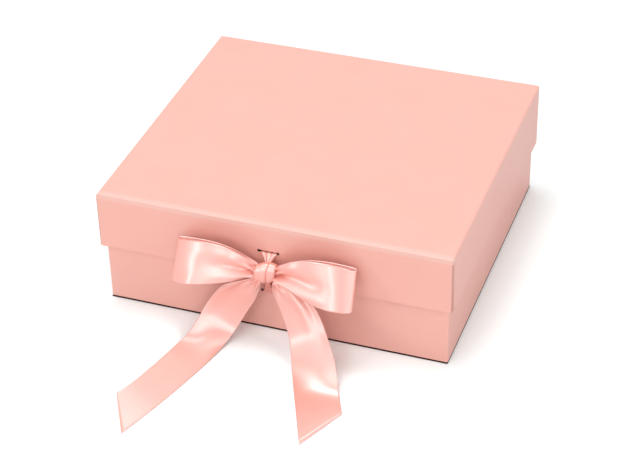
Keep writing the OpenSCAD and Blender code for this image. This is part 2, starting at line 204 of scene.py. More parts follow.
def curve(points, steps):
    """Catmull-Rom curve through the points, with steps between neighbours."""
    p = np.array(points, float)
    out = []
    for i in range(len(p) - 1):
        a, b, c, d = p[max(i - 1, 0)], p[i], p[i + 1], p[min(i + 2, len(p) - 1)]
        for k in range(steps):
            t = k / steps
            out.append(0.5 * (2 * b + (c - a) * t + (2 * a - 5 * b + 4 * c - d) * t * t
                              + (3 * b - a - 3 * c + d) * t ** 3))
    out.append(p[-1])
    return np.array(out)


def softened(p, rounds):
    """The points relaxed towards their neighbours, with the ends kept."""
    p = p.copy()
    for _ in range(rounds):
        p[1:-1] = 0.25 * p[:-2] + 0.5 * p[1:-1] + 0.25 * p[2:]
    return p


def unit(v):
    """Vectors at length 1."""
    return v / np.maximum(np.linalg.norm(v, axis=-1, keepdims=True), 1e-9)


def from_lid(points):
    """Edge points in the frame, from [right, out from the lid's front, up]."""
    return [(x, LID_FRONT - out, z) for x, out, z in points]


def grid_faces(rows, cols, closed=False):
    """Faces between the points of a grid, and back to its first row if it is closed."""
    turns = rows if closed else rows - 1
    faces = []
    for i in range(turns):
        here, there = i * cols, (i + 1) % rows * cols
        faces += [[here + k, here + k + 1, there + k + 1, there + k] for k in range(cols - 1)]
    return faces


def ribbon_object(name, grid, body, closed=False, thickness=RIBBON_T):
    """A ribbon from a grid of points, rows along it and columns across, with a UV map in
    metres: U across the ribbon and V along it."""
    rows, cols = grid.shape[:2]
    obj = make(name, grid.reshape(-1, 3), grid_faces(rows, cols, closed), body)
    along = np.zeros(rows + 1)
    ring = np.concatenate([grid, grid[:1]])
    along[1:] = np.cumsum(np.linalg.norm(np.diff(ring.mean(axis=1), axis=0), axis=1))
    uv = obj.data.uv_layers.new(name="weave")
    for polygon in obj.data.polygons:
        corners = [obj.data.loops[k].vertex_index for k in polygon.loop_indices]
        last = closed and polygon.index >= (rows - 1) * (cols - 1)
        for k, vertex in zip(polygon.loop_indices, corners):
            row, col = divmod(vertex, cols)
            length = along[rows] if last and row == 0 else along[row]
            uv.data[k].uv = (col / (cols - 1) * RIBBON_W * MM, length * MM)
    thicken(obj, thickness)
    return obj


def ribbon_between(name, edge_a, edge_b, folds, side):
    """A ribbon between two edges. folds(s, end, v) gives how far the cloth stands out, in
    millimetres, at s along the middle (end: from the other end) and v across."""
    a = softened(curve(edge_a, STEPS), EDGE_ROUNDS)
    b = softened(curve(edge_b, STEPS), EDGE_ROUNDS)
    middle = (a + b) / 2
    run = np.zeros(len(a))
    run[1:] = np.cumsum(np.linalg.norm(np.diff(middle, axis=0), axis=1))
    ahead = unit(np.gradient(middle, axis=0))
    normal = unit(np.cross(ahead, unit(b - a))) * side
    normal = unit(softened(normal, NORMAL_ROUNDS))
    v = np.linspace(0, 1, COLUMNS + 1)
    grid = np.zeros((len(a), COLUMNS + 1, 3))
    for i in range(len(a)):
        out = folds(run[i], run[-1] - run[i], v)
        grid[i] = a[i] + np.outer(v, b[i] - a[i]) + np.outer(out, normal[i])
    return ribbon_object(name, grid, "base")


def fade(s, start, end):
    """1 up to start, falling smoothly to 0 at end."""
    t = min(max((s - start) / (end - start), 0.0), 1.0)
    return 1 - t * t * (3 - 2 * t)


def ridge(v, middle, width):
    """A rounded ridge of height 1 across the ribbon."""
    return np.exp(-((v - middle) / width) ** 2)


# ---- materials ---------------------------------------------------------------

class Shader:
    """A small helper for building one procedural material. Noise scales are per metre, and
    the distances of bumps in metres."""

    def __init__(self, name):
        self.mat = bpy.data.materials.new(name)
        self.mat.use_nodes = True
        self.tree = self.mat.node_tree
        self.bsdf = self.tree.nodes["Principled BSDF"]
        self.coord = self.tree.nodes.new("ShaderNodeTexCoord")

    def node(self, kind, inputs=(), **settings):
        """A new node with its inputs linked or set."""
        made = self.tree.nodes.new("ShaderNode" + kind)
        for key, value in settings.items():
            setattr(made, key, value)
        for key, value in dict(inputs).items():
            self.put(value, made.inputs[key])
        return made

    def put(self, value, socket):
        if isinstance(value, bpy.types.NodeSocket):
            self.tree.links.new(value, socket)
        else:
            socket.default_value = value

    def set(self, **values):
        """Links or sets the shader's own inputs, with _ for each space in their names."""
        for key, value in values.items():
            self.put(value, self.bsdf.inputs[key.replace("_", " ")])

    def calc(self, operation, *values):
        """The output of a Math node."""
        return self.node("Math", dict(enumerate(values)), operation=operation).outputs[0]

    def noise(self, scale, detail, vector=None, stretch=None):
        if vector is None:
            vector = self.coord.outputs["Object"]
        if stretch:
            vector = self.node("Mapping", {"Vector": vector, "Scale": stretch}).outputs[0]
        made = self.node("TexNoise", {"Vector": vector, "Scale": scale, "Detail": detail})
        return made.outputs["Fac"]

    def band(self, value, low, high, to_low, to_high):
        """value, with low to high mapped onto to_low to to_high and held beyond."""
        return self.node("MapRange", {"Value": value, "From Min": low, "From Max": high,
                                      "To Min": to_low, "To Max": to_high}).outputs[0]

    def mix(self, factor, a, b):
        made = self.node("Mix", data_type="RGBA", blend_type="MIX")
        # Of a colour mix's sockets, 0 is the factor, and 6 and 7 are the two colours
        for socket, value in ((0, factor), (6, a), (7, b)):
            self.put(value, made.inputs[socket])
        return made.outputs[2]

    def bump(self, height, distance, strength=1.0, under=None):
        """A bump normal, on top of the one under it."""
        made = self.node("Bump", {"Height": height, "Distance": distance, "Strength": strength})
        if under:
            self.put(under, made.inputs["Normal"])
        return made.outputs[0]


def rgb(r, g, b):
    return (r, g, b, 1.0)


def paper(name, light, dark, painted_fold_highlight, painted_seam_shade, rough, level):
    """Coated covering paper: faint clouding, fine fibres and a soft sheen. A painted highlight
    pales the lid's front fold, and painted shade darkens the seams beside the flap."""
    s = Shader(name)
    cloud = s.noise(38, 3)
    fibres = s.noise(900, 6, stretch=(1.0, 0.35, 1.0))
    tone = s.mix(s.band(cloud, 0.3, 0.7, 0.0, 1.0), light, dark)
    speck = s.mix(s.band(fibres, 0.35, 0.65, 0.0, 0.35), tone, dark)
    x, y, z = s.node("SeparateXYZ", {"Vector": s.coord.outputs["Object"]}).outputs
    # Painted highlight: the front fold, above fold_z and ahead of fold_y, is made paler
    fold_z, fold_y = LID_TOP - FOLD_R, LID_FRONT + FOLD_R
    high = s.band(z, (fold_z - 0.1) * MM, (fold_z + 0.3) * MM, 0, 1)
    ahead = s.band(y, fold_y * MM, (fold_y + 2.2) * MM, 1, 0)
    fold_highlight_mask = s.calc("MULTIPLY", high, ahead)
    # Painted shade in the seams, at the lid's sides ahead of the side flaps and below the fold
    outer = s.band(s.calc("ABSOLUTE", x), (LID_X - 0.9) * MM, (LID_X - 0.4) * MM, 0, 1)
    beside = s.band(y, (SIDE_START - 0.6) * MM, SIDE_START * MM, 1, 0)
    below = s.calc("SUBTRACT", 1.0, high)
    seam_shade_mask = s.calc("MULTIPLY", s.calc("MULTIPLY", outer, beside), below)
    spread = 0.04
    fine = s.bump(fibres, 0.000012, 0.5)
    s.set(Base_Color=s.mix(seam_shade_mask, s.mix(fold_highlight_mask, speck, painted_fold_highlight), painted_seam_shade),
          Roughness=s.band(fibres, 0.3, 0.7, rough - spread, rough + spread),
          Normal=s.bump(s.noise(26, 2), 0.00035, 0.35, under=fine), Specular_IOR_Level=level)
    return s.mat


# Fold tone: painted highlight on the lid's front fold; seam tone: painted shade in its seams
WRAP = paper("wrap_paper_rose", light=rgb(0.80, 0.415, 0.35), dark=rgb(0.785, 0.395, 0.33),
             painted_fold_highlight=rgb(0.79, 0.455, 0.39), painted_seam_shade=rgb(0.56, 0.25, 0.20), rough=0.34, level=0.75)
LINING = paper("lining_paper_rose", light=rgb(0.83, 0.48, 0.415), dark=rgb(0.81, 0.455, 0.39),
               painted_fold_highlight=rgb(0.82, 0.51, 0.45), painted_seam_shade=rgb(0.62, 0.33, 0.27), rough=0.5, level=0.5)


def grey_board():
    """Fibrous board, seen only in cut edges: its own brownish tone, darkened as painted shade in
    the slot holes.
    """
    s = Shader("grey_board_fibre")
    flecks, grain = s.noise(420, 8), s.noise(60, 4, stretch=(1, 1, 6))
    # Painted shade: these tones are darker than the board's own, so the slot holes read as shaded
    tone = s.mix(s.band(grain, 0.3, 0.7, 0, 1), rgb(0.10, 0.058, 0.045), rgb(0.07, 0.04, 0.03))
    s.set(Base_Color=s.mix(s.band(flecks, 0.55, 0.7, 0, 0.6), tone, rgb(0.035, 0.02, 0.015)),
          Roughness=s.band(flecks, 0.3, 0.7, 0.85, 0.97), Normal=s.bump(flecks, 0.00006, 0.6))
    return s.mat


def glue():
    """Dried adhesive film."""
    s = Shader("adhesive_film")
    cloud = s.noise(120, 3)
    s.set(Base_Color=s.mix(cloud, rgb(0.80, 0.77, 0.70), rgb(0.70, 0.67, 0.60)),
          Roughness=s.band(cloud, 0.3, 0.7, 0.3, 0.5), Normal=s.bump(cloud, 0.00005))
    return s.mat


def steel():
    """Nickel-plated magnet, finely scratched."""
    s = Shader("magnet_nickel")
    scratch = s.noise(300, 5, stretch=(1, 8, 1))
    s.set(Base_Color=s.mix(scratch, rgb(0.62, 0.62, 0.63), rgb(0.50, 0.50, 0.52)), Metallic=1.0,
          Roughness=s.band(scratch, 0.3, 0.7, 0.22, 0.38), Normal=s.bump(scratch, 0.00001))
    return s.mat


def satin():
    """Woven satin: fine warp floats along the ribbon, a broad soft gloss and firm selvedges."""
    s = Shader("satin_rose")
    uv = s.node("UVMap", uv_map="weave").outputs[0]
    across = s.node("SeparateXYZ", {"Vector": uv}).outputs[0]
    threads = s.noise(1.0, 3.0, vector=uv, stretch=(5200.0, 260.0, 1.0))
    slubs = s.noise(1.0, 2.0, vector=uv, stretch=(900.0, 40.0, 1.0))
    middle = RIBBON_W * MM / 2
    off = s.calc("ABSOLUTE", s.calc("SUBTRACT", across, middle))
    selvedge = s.band(off, middle - 0.0011, middle - 0.0006, 0.0, 1.0)
    tone = s.mix(s.band(slubs, 0.35, 0.65, 0, 1), rgb(0.82, 0.305, 0.24), rgb(0.81, 0.295, 0.23))
    weave = s.bump(threads, 0.000004, 0.4)
    s.set(Base_Color=s.mix(selvedge, tone, rgb(0.80, 0.29, 0.225)),
          Roughness=s.band(threads, 0.3, 0.7, 0.38, 0.42),
          Normal=s.bump(selvedge, 0.00012, 0.6, under=weave),
          Tangent=s.node("Tangent", direction_type="UV_MAP", uv_map="weave").outputs[0],
          Anisotropic=0.75, Specular_IOR_Level=1.0, IOR=2.2, Sheen_Weight=0.1,
          Sheen_Roughness=0.35)
    return s.mat


BOARD, GLUE, STEEL, SATIN = grey_board(), glue(), steel(), satin()


def wear(obj, material):
    """Gives the object its material, and the slot that the material stands for."""
    obj.data.materials.clear()
    obj.data.materials.append(material)
    return obj


# The frame's own nodes wear the material of the first of these words in their name
SKINS = (("lining", LINING), ("corner_tab", LINING), ("wrap", WRAP), ("paper", WRAP),
         ("adhesive", GLUE), ("magnets", STEEL), ("ribbon", SATIN))
for node_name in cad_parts:
    node = bpy.data.objects[node_name]
    skin = next((material for word, material in SKINS if word in node_name), BOARD)
    if node.material_slots:
        for place in node.material_slots:
            place.link = "OBJECT"
            place.material = skin
    else:
        node.data.materials.append(skin)


# ---- the box -----------------------------------------------------------------

def lid_cover():
    """Covering paper over the lid's boards: one shell with three flaps, open corner seams."""
    def low(y):
        return FLAP_LOW + SIDE_SLOPE * (y - LID_FRONT)

    back_of_flap = LID_FRONT + WALL_T
    seam_top = LID_TOP - FOLD_R - 0.2       # just under the rounded fold
    outline = [(LID_FRONT, FLAP_LOW), (back_of_flap, FLAP_LOW), (back_of_flap, seam_top),
               (SIDE_START, seam_top), (SIDE_START, low(SIDE_START)), (LID_REAR, low(LID_REAR)),
               (LID_REAR, LID_TOP), (LID_FRONT, LID_TOP)]
    shell = prism("lid_cover", outline, "x", -LID_X, LID_X, "lid")
    in_x, in_front, in_top = LID_X - COVER_T, LID_FRONT + COVER_T, LID_TOP - COVER_T
    cut(shell, box("room", (-in_x, in_front, 0), (in_x, LID_REAR + PAST, in_top)),
        slot_cutter(LID_FRONT, 4, UPPER_SLOT, COVER_EASE))

    # Where the slot's edges lie, which stay sharp: half height, half width and depth
    slot_h, slot_w, slot_d = 1.1, 8, 3

    def radius(p, d):
        side, front = near(abs(p.x), LID_X), near(p.y, LID_FRONT)
        top, rear = near(p.z, LID_TOP), near(p.y, LID_REAR)
        upright, lies_level = abs(d.z) > 0.9, abs(d.z) < 0.2
        if top and front:
            return FOLD_R
        if top and side:
            return SIDE_FOLD_R
        if front and side and upright:
            return FLAP_END_R
        in_slot = abs(p.z - UPPER_SLOT) < slot_h and abs(p.x - SLOT_X) < slot_w
        if in_slot and p.y < LID_FRONT + slot_d:
            return 0.0
        if lies_level and p.z < FLAP_LOW + 0.2:
            return FREE_EDGE_R
        inside = near(abs(p.x), in_x) or near(p.y, in_front)
        at_end = near(p.y, SIDE_START) or rear or near(p.y, back_of_flap, 0.1)
        if upright and (side or inside) and at_end:
            return END_EDGE_R
        if rear and (top or near(p.z, in_top)):
            return END_EDGE_R
        return 0.0
    round_edges(shell, radius, FOLD_R, segments=6, profile=0.36)
    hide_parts("lid_outer_wrap")
    return wear(shell, WRAP)


def base_cover():
    """Covering paper of the base: walls, rim and underside."""
    shell = box("base_cover", (-HALF_W, -HALF_D, 0), (HALF_W, HALF_D, WALL_TOP))
    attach(shell, "base")
    in_w, in_d = HALF_W - COVER_T, HALF_D - COVER_T
    cut(shell, box("room", (-in_w, -in_d, FLOOR_Z - 0.3), (in_w, in_d, WALL_TOP + PAST)),
        slot_cutter(-HALF_D, 4, UPPER_SLOT, COVER_EASE),
        slot_cutter(-HALF_D, 4, LOWER_SLOT, COVER_EASE))

    # The panel underneath stands a little proud of the walls' folded lower edges
    rim = box("foot", (-HALF_W - PAST, -HALF_D - PAST, -1),
              (HALF_W + PAST, HALF_D + PAST, FOOT_H))
    foot_w, foot_d = HALF_W - FOOT_IN, HALF_D - FOOT_IN
    cut(rim, box("panel", (-foot_w, -foot_d, -2), (foot_w, foot_d, 2)))
    cut(shell, rim)

    def radius(p, d):
        side, end = near(abs(p.x), HALF_W), near(abs(p.y), HALF_D)
        if side and end and abs(d.z) > 0.9:
            return CORNER_R
        if near(p.z, FOOT_H) and (side or end):
            return FOOT_EDGE_R
        if near(p.z, WALL_TOP):
            return RIM_R
        return 0.0
    round_edges(shell, radius, CORNER_R)
    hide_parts("base_outer_wrap", "base_bottom_paper")
    return wear(shell, WRAP)


def rounded_corner(a, corner, b, radius):
    """Points of a round corner of a polyline, from the side of a to the side of b."""
    steps = 4
    a, corner, b = (np.array(p, float) for p in (a, corner, b))
    start = corner + unit(a - corner) * radius
    end = corner + unit(b - corner) * radius
    return [tuple((1 - t) ** 2 * start + 2 * t * (1 - t) * corner + t * t * end)
            for t in (i / steps for i in range(steps + 1))]


def lining_band(name, line, closed, rows, place, body):
    """A thin sheet along a line, drawn out in rows by place(point, row)."""
    points = [place(p, r) for r in rows for p in line]
    cols = len(line)
    faces = []
    for i in range(len(rows) - 1):
        for k in range(cols if closed else cols - 1):
            q = (k + 1) % cols
            faces.append([i * cols + k, i * cols + q, (i + 1) * cols + q, (i + 1) * cols + k])
    obj = make(name, points, faces, body)
    thicken(obj, LINING_T)
    applied(obj)
    return obj


def base_lining():
    """Lining of the base's walls, with its free edge a little below their tops."""
    margin, corner_r = 3.2, 0.8
    w, d, top = IN_W + LINING_SEAT, IN_D + LINING_SEAT, WALL_TOP - margin
    corners = [(-w, -d), (w, -d), (w, d), (-w, d)]
    line = []
    for i, corner in enumerate(corners):
        line += rounded_corner(corners[i - 1], corner, corners[(i + 1) % 4], corner_r)
    # The rows at 20 and 45 are clear of both slots
    sheet = lining_band("base_lining", line, True, [FLOOR_Z, 20, 45, top],
                        lambda p, z: (p[0], p[1], z), "base")
    for z in (UPPER_SLOT, LOWER_SLOT):
        cut(sheet, slot_cutter(-HALF_D, 5, z, LINING_EASE))
    keep_flat(sheet)
    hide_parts("base_inner_lining")
    return wear(sheet, LINING)


def lid_lining():
    """Lining of the lid: one sheet from side flap to side flap under the top, and a second
    behind the front flap."""
    x, z, margin = LID_X - WALL_T + LINING_SEAT, LID_IN_Z - LINING_SEAT, 4.0
    low = FLAP_LOW + margin
    line = [(-x, low)] + rounded_corner((-x, low), (-x, z), (0, z), LINING_FOLD_R)
    line += rounded_corner((0, z), (x, z), (x, low), LINING_FOLD_R) + [(x, low)]
    start, end = LID_FRONT + WALL_T + 0.4, LID_REAR - 3.5

    def place(p, y):
        drop = SIDE_SLOPE * (y - LID_FRONT) if near(p[1], low) else 0
        return (p[0], y, p[1] + drop)

    sides = lining_band("lid_lining", line, False, [start, start + 3.8, 0, end], place, "lid")
    # The second sheet runs from under the first, forward to the flap and down it
    y, under, lap = LID_FRONT + WALL_T - LINING_SEAT, z - 0.1, 18
    front = [(y, low), *rounded_corner((y, 40), (y, under), (60, under), LINING_FOLD_R),
             (LID_FRONT + lap, under)]
    half = LID_X - WALL_T - 0.8
    apron = lining_band("lid_front_lining", front, False, [-half, 0, half],
                        lambda p, across: (across, p[0], p[1]), "lid")
    cut(apron, slot_cutter(LID_FRONT, 4, UPPER_SLOT, COVER_EASE))
    keep_flat(sides)
    keep_flat(apron)
    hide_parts("lid_inner_lining")
    wear(sides, LINING)
    return wear(apron, LINING)


def corner_tab(name, x_side, y_side):
    """A board tab covered in lining paper, folded in from a side wall."""
    low, tab_t, tab_w, tab_h, slope = FLOOR_Z + 6, 1.2, 30, 58, 7
    root, face = IN_W - 0.1, IN_D - 0.2
    outline = [(0, low), (0, low + tab_h), (-tab_w, low + tab_h - slope), (-tab_w, low + slope)]
    outline = [(x_side * (root + p[0]), p[1]) for p in outline]
    y0, y1 = (face - tab_t) * y_side, face * y_side
    tab = prism(name + "_cover", outline, "y", min(y0, y1), max(y0, y1), "base")
    round_edges(tab, lambda p, d: 0.0 if near(abs(p.x), root) else TAB_EDGE_R, TAB_EDGE_R,
                segments=3)
    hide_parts(name)
    return wear(tab, LINING)


def lid_tab(name, side):
    """A thin tab behind one end of the lid's front flap."""
    width, low, top, slope = 22, FLAP_LOW + 4, LID_IN_Z - 0.2, 5
    x0, x1 = LID_X - WALL_T - width, LID_X - WALL_T - 0.2
    y0 = LID_FRONT + WALL_T
    outline = [(side * x1, low), (side * x1, top), (side * x0, top - slope),
               (side * x0, low + slope)]
    tab = prism(name + "_cover", outline, "y", y0 + 0.05, y0 + 0.4, "lid")
    round_edges(tab, lambda p, d: LID_TAB_EDGE_R, LID_TAB_EDGE_R, segments=2)
    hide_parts(name)
    return wear(tab, LINING)


def hinge_sheet(name, line, body):
    """A strip of hinge paper along X: its section is a line of (y, z) points. It is faintly
    wavy between its two long edges, which stay straight."""
    section = curve(line, 4)
    half, count = HALF_W - 1.2, 24
    rows = [-half + 2 * half * i / count for i in range(count + 1)]
    height, pitch, phase = 0.05, 0.21, 1.3
    points = []
    for x in rows:
        for k, (y, z) in enumerate(section):
            swell = math.sin(math.pi * k / (len(section) - 1))
            points.append((x, y + height * math.sin(x * pitch + phase) * swell, z))
    obj = make(name, points, grid_faces(len(rows), len(section)), body)
    thicken(obj, HINGE_T)
    applied(obj)
    return wear(obj, WRAP)


lid_cover()
base_cover()
base_lining()
lid_lining()
corner_tab("left_front_corner_tab", -1, -1)
corner_tab("right_front_corner_tab", 1, -1)
corner_tab("left_rear_corner_tab", -1, 1)
corner_tab("right_rear_corner_tab", 1, 1)
lid_tab("lid_left_corner_tab", -1)
lid_tab("lid_right_corner_tab", 1)

WALL_BACK = HALF_D + 0.1                # middle of the hinge paper on the wall
on_wall = hinge_sheet("hinge_paper_on_wall", [
    (WALL_BACK, 56.1), (WALL_BACK, 61), (WALL_BACK, 66), (HALF_D + 0.12, 70.6),
    (HALF_D + 0.45, 72.1), (PIVOT_Y - 0.25, 72.9), (PIVOT_Y, PIVOT_Z)], "base")
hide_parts("hinge_paper")
hinge_sheet("hinge_paper_on_lid", [
    (PIVOT_Y, PIVOT_Z), (PIVOT_Y, 73.7), (PIVOT_Y - 0.02, 74.4), (LID_REAR + 0.08, 75.0)], "lid")

# ---- the ribbon --------------------------------------------------------------
# Two edges of each length, from the knot on: [right, out from the lid's front, up]. They
# follow the CAD model's points, and the tails bend more softly.

LEFT_LOOP = (
    [[-4, 8, 50.8], [-6.9, 8.6, 53.4], [-11.6, 10.9, 59.4], [-21.9, 12.9, 65.3],
     [-35.7, 12.2, 65.6], [-46.9, 9.5, 62.6], [-52.3, 7, 60.4], [-54, 5.1, 60.1],
     [-52, 3.4, 60], [-36, 3.4, 60.5], [-23, 4, 59], [-12, 4.6, 55], [-4, 5.2, 51]],
    [[-4, 8.7, 45.8], [-6.9, 9.2, 44.8], [-14.7, 14.6, 45.6], [-27.3, 19.7, 43.9],
     [-40, 22, 41.5], [-48.5, 20.6, 39.2], [-53.6, 18, 37.2], [-55.2, 15.8, 37],
     [-53, 13.7, 37.3], [-38, 12.4, 40], [-25, 10.4, 42.5], [-13, 8, 44.5], [-4, 6.2, 46]])
RIGHT_LOOP = (
    [[3, 8, 50.8], [6.1, 8.6, 53.4], [11.3, 10.2, 58.7], [20.9, 12.3, 64.8], [35.3, 12.7, 66.6],
     [46.1, 9.5, 64], [51.3, 7, 60.9], [53.3, 5.1, 60.5], [51.3, 3.4, 60.8], [36, 3.6, 61.5],
     [23, 4, 60], [12, 4.6, 56], [3, 5.2, 51]],
    [[3, 8.7, 45.8], [6.1, 9.2, 45.8], [14.7, 13.4, 45.5], [26.7, 18.6, 42.9], [39, 22.5, 42],
     [47, 21, 40.7], [52, 18.2, 39.2], [54, 15.8, 39], [52, 13.7, 39], [38, 12.4, 40.5],
     [25, 10.4, 42.5], [13, 8, 44.5], [3, 6.2, 46]])
LEFT_TAIL = (
    [[-6, 7.8, 44.5], [-14, 8.3, 41.5], [-22.7, 8.9, 37.6], [-29.2, 8.4, 32],
     [-35.3, 8.9, 22.9], [-39.3, 12, 15.2], [-42.4, 16.4, 8.6], [-45.9, 21.7, 2.9],
     [-49.6, 30.9, 0.9], [-55.2, 52.4, 0.5], [-61, 71.5, 0.35], [-64.7, 79.5, 0.35]],
    [[-2.6, 9.6, 43.6], [-4.7, 8.6, 35.2], [-7.9, 7.8, 26.5], [-11.6, 8.2, 20],
     [-16, 10.4, 11.4], [-19.8, 14.1, 4.6], [-22.4, 22.4, 1.5], [-24.9, 33.5, 0.8],
     [-27.4, 44, 0.5], [-33.1, 64.8, 0.35], [-39, 84, 0.35], [-48, 110, 0.35]])
RIGHT_TAIL = (
    [[4.2, 9.4, 43.2], [4.6, 9.9, 37.9], [6.8, 10.5, 31.2], [10.1, 11.7, 24.4],
     [13.1, 13.6, 18.1], [15.9, 16, 11.8], [18.2, 20.1, 6.8], [20.9, 26, 3], [24, 33.8, 0.9],
     [28.2, 44, 0.35], [33, 54.8, 0.35], [47.8, 88.5, 0.35]],
    [[5.5, 7.8, 44.5], [16, 7.8, 41], [23.9, 8, 36.8], [30.1, 9.7, 31.2], [34.2, 12.6, 26.8],
     [38.7, 17, 21.8], [42.9, 22.8, 17.9], [46.7, 27.5, 14.4], [50, 32.8, 10],
     [52.5, 37.8, 4.5], [55.5, 43.8, 0.8], [61.8, 57.3, 0.35]])


# How each length stands out from the sheet between its edges, in millimetres:
#   root, tip   pleats at the knot and at the other end: count, height, reach
#   folds       height, where it rises, where it falls, and its ridges across the ribbon,
#               each a share of the height, a middle and a width
#   camber      height, where it falls (from the other end), and its ridge's middle and width
LEFT_LOOP_FOLDS = {
    "root": (2.5, 1.1, 16), "tip": (2, 0.7, 14),
    "folds": [(1.5, (0, 6), (8, 38), [(1, 0.80, 0.13), (-1, 0.52, 0.12)]),
              (1.6, (6, 16), (36, 52), [(1, 1.0, 0.3)]),
              (0.9, (0, 10), (20, 44), [(1, 0.22, 0.14)])]}
RIGHT_LOOP_FOLDS = {
    "root": (2.5, 1.1, 14), "tip": (2, 0.7, 14),
    "folds": [(2.6, (0, 6), (16, 44), [(1, 0.86, 0.12), (-0.9, 0.55, 0.15)]),
              (0.8, (0, 8), (14, 34), [(1, 0.18, 0.13)])]}
LEFT_TAIL_FOLDS = {
    "root": (2.5, 0.9, 18), "camber": (0.2, (10, 60), (0.5, 0.4)),
    "folds": [(1.2, (0, 8), (12, 50), [(1, 0.12, 0.1), (-0.6, 0.4, 0.16)])]}
RIGHT_TAIL_FOLDS = {
    "root": (2.5, 0.9, 16), "camber": (0.2, (10, 60), (0.5, 0.4)),
    "folds": [(1.3, (0, 6), (14, 55), [(1, 0.62, 0.14), (-0.8, 0.84, 0.09)])]}


def gathers(s, v, count, height, reach):
    """Pleats that run out of the knot and fade along the ribbon."""
    start, full = 0.5, 4.5
    return height * fade(-s, -full, -start) * fade(s, full, reach) * np.cos(TURN * (count * v))


def stand_out(shape, s, end, v):
    """How far the cloth stands out at s along the ribbon and v across it."""
    out = gathers(s, v, *shape["root"])
    if "tip" in shape:
        out = out + gathers(end, v, *shape["tip"])
    for height, rises, falls, ridges in shape["folds"]:
        section = sum(share * ridge(v, middle, width) for share, middle, width in ridges)
        out = out + height * fade(s, *falls) * fade(-s, -rises[1], -rises[0]) * section
    if "camber" in shape:
        height, falls, across = shape["camber"]
        out = out + height * fade(end, *falls) * ridge(v, *across)
    return out


def ribbon_length(name, edges, shape, node, side):
    """A loop or tail of the bow. side is the face of the sheet that the folds stand out from."""
    obj = ribbon_between(name, from_lid(edges[0]), from_lid(edges[1]),
                         lambda s, end, v: stand_out(shape, s, end, v), side)
    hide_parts(node)
    wear(obj, SATIN)


ribbon_length("ribbon_left_loop_satin", LEFT_LOOP, LEFT_LOOP_FOLDS, "ribbon_left_loop",
              1)
ribbon_length("ribbon_right_loop_satin", RIGHT_LOOP, RIGHT_LOOP_FOLDS, "ribbon_right_loop",
              -1)
ribbon_length("ribbon_left_tail_satin", LEFT_TAIL, LEFT_TAIL_FOLDS, "ribbon_left_tail",
              1)
ribbon_length("ribbon_right_tail_satin", RIGHT_TAIL, RIGHT_TAIL_FOLDS, "ribbon_right_tail",
              1)

# Shapes of the knot's two wraps, the left one first
KNOT_BANDS = ({"side": -1, "wide": 7.7, "tilt": -0.9, "tall": 6.9, "waist": 2.5, "deep": 4.3},
              {"side": 1, "wide": 4.8, "tilt": 1.1, "tall": 6.7, "waist": 2.0, "deep": 4.2})


def knot_band(side, wide, tilt, tall, waist, deep):
    """One wrap of the knot on one side of its seam: the ribbon tucked under itself and taken
    round. It is tall at the seam and loses waist towards the loop, where it rises by tilt."""
    # Shares of the width, from the seam to the outer edge, and depths below the surface
    section = curve([
        (0.65, 1.5), (0.04, 1.35), (0.85, 1.15), (0.96, 0.95), (1.0, 0.5), (0.95, 0.15),
        (0.8, 0.03), (0.62, 0.14), (0.45, 0.0), (0.3, 0.1), (0.16, 0.0), (0.04, 0.15),
        (0.0, 0.45), (0.05, 0.66), (0.35, 0.72), (0.96, 0.72)], 4)
    turns, lean, valley_w = 64, 0.1, 0.3
    square_z, square_y = 0.82, 0.95         # powers under 1 square the round a little
    grid = np.zeros((turns, len(section), 3))
    for i in range(turns):
        turn = TURN * i / turns
        high, out = math.sin(turn), math.cos(turn)
        for k, (share, depth) in enumerate(section):
            share = min(max(share, 0.0), 1.0)
            valley = max(0.0, 1 - share / valley_w) ** 2    # the dip beside the seam
            half_h = tall - waist * share ** 2.2 - 0.5 * valley - depth
            half_d = deep - 1.0 * share ** 3 - 0.9 * valley - depth
            z = tilt * share + half_h * math.copysign(abs(high) ** square_z, high)
            y = half_d * math.copysign(abs(out) ** square_y, out)
            grid[i, k] = (SEAM_X + lean * z + side * wide * share, KNOT_Y - y, SEAM_Z + z)
    return grid


def knot():
    """The knot: its two wraps, as one piece."""
    bands = []
    for number, shape in enumerate(KNOT_BANDS):
        band = ribbon_object(f"knot_band_{number}", knot_band(**shape), "base", closed=True,
                             thickness=KNOT_T)
        applied(band)
        wear(band, SATIN)
        bands.append(band)
    work = bmesh.new()
    for band in bands:
        work.from_mesh(band.data)
    obj = new_object("ribbon_knot_satin", bands[0].data.copy())
    work.to_mesh(obj.data)
    work.free()
    for band in bands:
        bpy.data.objects.remove(band)
    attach(obj, "base")
    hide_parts("ribbon_knot")


knot()


def pleated_strand(name, stations, node):
    """A gathered strand lofted through stations: each is a middle point, a half width and a
    depth of the pleats."""
    # Three pleats side by side, each folded back under itself: place across (share of half
    # width) and height (share of depth)
    pleat = [(-0.32, 0.2), (-0.25, 0.6), (-0.12, 0.95), (0.1, 1.0), (0.26, 0.65),
             (0.33, 0.22), (0.2, 0.12), (-0.25, 0.12), (-0.27, 0.0), (0.2, 0.0)]
    section = [(middle + across, height)
               for middle in (-0.67, 0.0, 0.67) for across, height in pleat]
    section = curve(section[:-2], 4)
    line = curve([s[0] for s in stations], STEPS)
    halves = curve([[s[1]] for s in stations], STEPS)[:, 0]
    depths = curve([[s[2]] for s in stations], STEPS)[:, 0]
    ahead = unit(np.gradient(line, axis=0))
    side = np.tile(np.array([1.0, 0, 0]), (len(line), 1))
    normal = unit(np.cross(ahead, side))
    grid = np.zeros((len(line), len(section), 3))
    for i in range(len(line)):
        grid[i] = (line[i] + np.outer(section[:, 0] * halves[i], side[i])
                   - np.outer(section[:, 1] * depths[i], normal[i]))
    obj = ribbon_object(name, grid, "base", thickness=STRAND_T)
    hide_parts(node)
    wear(obj, SATIN)


